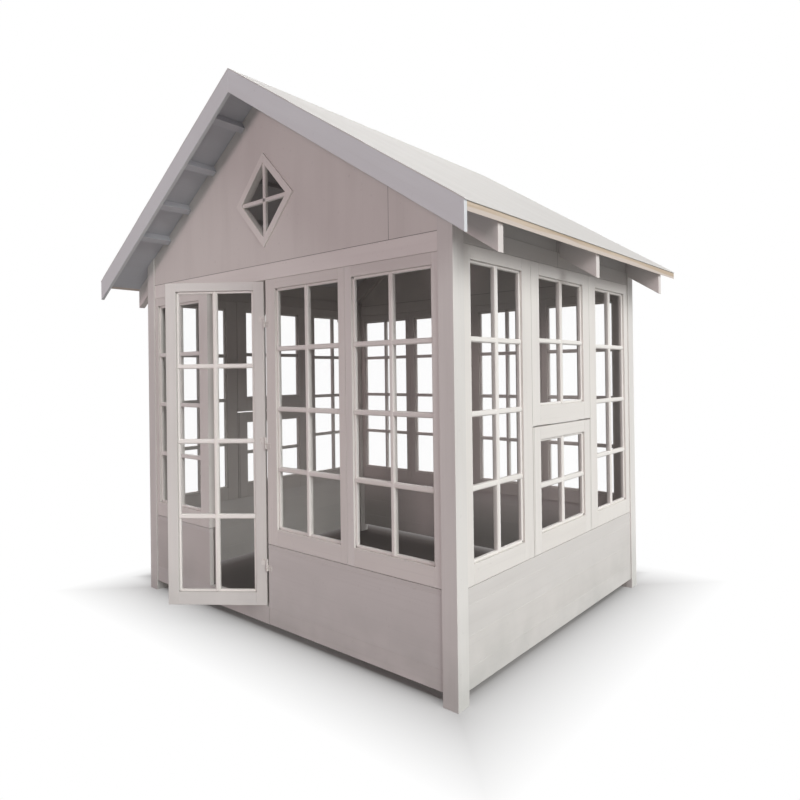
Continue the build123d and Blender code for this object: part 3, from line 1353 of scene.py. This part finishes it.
@dataclass
class Studio:
    """Floor, light and camera.

    Attributes:
        principal: Height of the optical axis in the image, in pixels from the top.
        eye: Place of the camera, from the middle of the posts on the ground.
        yaw: Turn of the view to the left of +Y, in degrees.
        pitch: Downward tilt in degrees.
        roll: Clockwise roll in degrees.
        sky: Colour and strength of the sky's light.
        shadow_lean: Half of what the shadow and the painted shade of dark ground grow to the left and the
            back.
        white: Distances beyond the walls at which the floor begins to turn white and is white.
        shaded_earth_edge: Distance beyond the leaning plan at which the dark ground, a painted shade, ends.
    """

    image: float = 800.0
    focal: float = 631.2
    principal: float = 371.3
    eye: Triple = (3.097, -3.510, 1.573)
    yaw: float = 40.396
    pitch: float = -0.194
    roll: float = 0.75
    sensor: float = 36.0
    sight: float = 200.0
    sky: tuple[Triple, float] = ((1.0, 0.79, 0.86), 0.13)
    lamps: tuple[Lamp, ...] = (
        Lamp("side_sun", 2.9, (0.86, -0.1, 0.5), (0.98, 1.0, 0.985), 45.0),
        Lamp("front_fill", 0.72, (0.08, -0.99, 0.08), (1.0, 0.79, 0.83), 14.0),
        Lamp("rear_fill", 1.6, (-0.72, 0.62, 0.32), (1.0, 0.96, 0.95), 45.0),
    )
    floor_reach: float = 60.0
    shadow_lean: float = 0.19
    white: Span = (-0.06, 0.5)
    shaded_earth_edge: float = -0.04
    pale: Triple = (0.42, 0.415, 0.41)
    shaded_earth: Triple = (0.15, 0.138, 0.13)

    def camera(self) -> None:
        """Sets the camera on the axes that the yaw, pitch and roll give."""
        yaw, pitch, roll = (math.radians(angle) for angle in (self.yaw, self.pitch, self.roll))
        level = math.cos(pitch)
        ahead = np.array([-math.sin(yaw) * level, math.cos(yaw) * level, -math.sin(pitch)])
        right = np.array([math.cos(yaw), math.sin(yaw), 0.0])
        down = np.cross(ahead, right)
        aside = right * math.cos(roll) + down * math.sin(roll)
        below = down * math.cos(roll) - right * math.sin(roll)
        lens = bpy.data.cameras.new("photo_camera")
        lens.sensor_width = self.sensor
        lens.lens = self.focal * self.sensor / self.image
        lens.shift_y = (self.principal - self.image / 2) / self.image
        lens.clip_end = self.sight
        camera = linked("photo_camera", lens)
        camera.matrix_world = aimed((aside, -below, -ahead), np.array(self.eye) + PLAN.centre())
        bpy.context.scene.camera = camera

    def seen_rays(self, sh: Shader) -> Socket:
        """Gives 1 for rays that show the background: camera, glossy and transmission rays.

        Args:
            sh: Helper of the node tree.

        Returns:
            The value.
        """
        path = sh.node("ShaderNodeLightPath").outputs
        both = sh.math("MAXIMUM", path["Is Camera Ray"], path["Is Glossy Ray"])
        return sh.math("MAXIMUM", both, path["Is Transmission Ray"])

    def floor(self) -> None:
        """Lays a pale floor that turns white away from the cabin and keeps its shadow near it; under the
        cabin it is dark ground, partly painted shade, which reaches beyond the left and back walls as
        painted shadow.
        """
        mesh = bpy.data.meshes.new("studio_floor")
        corners = np.array([[-1, -1, 0], [1, -1, 0], [1, 1, 0], [-1, 1, 0]]) * self.floor_reach
        mesh.from_pydata(corners.tolist(), [], [[0, 1, 2, 3]])
        floor = linked("studio_floor", mesh)
        made = bpy.data.materials.new("studio_floor")
        sh = emptied(made)
        place = sh.place()
        leaned = beyond_walls(sh, place, self.shadow_lean)
        # Painted shade: dark ground under the cabin, partly the ground's own colour, drawn out beyond the
        # left and back walls, away from the sun, as a painted shadow.
        ground = sh.ramp(leaned, -2 * self.shadow_lean, self.shaded_earth_edge)
        matt = sh.node("ShaderNodeBsdfDiffuse", {"Color": sh.blend(ground, self.shaded_earth, self.pale)})
        away = sh.math("POWER", sh.ramp(beyond_walls(sh, place), *self.white), 0.5)
        lit = sh.math("POWER", sh.ramp(leaned, -2 * self.shadow_lean, 0.0, "SMOOTHSTEP"), 2.0)
        white = sh.math("MULTIPLY", sh.math("MULTIPLY", away, lit), self.seen_rays(sh))
        glow = sh.node("ShaderNodeEmission").outputs[0]
        mixed = sh.node("ShaderNodeMixShader", {0: white, 1: matt.outputs[0], 2: glow})
        sh.node("ShaderNodeOutputMaterial", {"Surface": mixed.outputs[0]})
        mesh.materials.append(made)

    def light(self) -> None:
        """Sets a soft sky, white to the camera, and the lamps."""
        world = bpy.data.worlds.new("studio_sky")
        bpy.context.scene.world = world
        sh = emptied(world)
        colour, strength = self.sky
        soft = sh.node("ShaderNodeBackground", {"Color": colour, "Strength": strength})
        white = sh.node("ShaderNodeBackground", {"Color": (1.0, 1.0, 1.0), "Strength": 1.0})
        feeds = {0: self.seen_rays(sh), 1: soft.outputs[0], 2: white.outputs[0]}
        mixed = sh.node("ShaderNodeMixShader", feeds)
        sh.node("ShaderNodeOutputWorld", {"Surface": mixed.outputs[0]})
        for lamp in self.lamps:
            lamp.build()

    def build(self) -> None:
        """Sets up the whole studio."""
        self.floor()
        self.light()
        self.camera()
        bpy.context.scene.view_settings.view_transform = "Standard"


def dress_nodes() -> None:
    """Gives the CAD nodes that stay in view their finishes."""
    finishes = {"glass": GLASS, "pins": STEEL, "knuckles": STEEL}
    for name, node in frame["nodes"].items():
        ending = name.rsplit("_", 1)[-1]
        if ending in finishes:
            node.data.materials.clear()
            node.data.materials.append(finishes[ending].material())


def main() -> None:
    """Builds the cabin's pieces in order and sets the studio around them."""
    logging.basicConfig(level=logging.INFO, format="%(name)s %(message)s")
    dress_nodes()
    PlainTimbers().build()
    front = EndWall(Wall.FRONT, board_joints=(0.17, 0.522))
    front.front_windows()
    for panel in ("front_sill_panel_left", "front_sill_panel_right"):
        front.low_panel(panel)
    back = EndWall(Wall.BACK)
    back.back_windows()
    back.low_panel("back_sill_panel")
    for wall, side in ((Wall.RIGHT, "right"), (Wall.LEFT, "left")):
        flank = SideWall(wall, side=side)
        flank.windows()
        flank.low_panel(f"{side}_sill_panel")
    DoorLeaf().build()
    HingeScrews().build()
    GableWindow().build()
    RoofSheets().build()
    Studio().build()


if __name__ == "__main__":
    main()
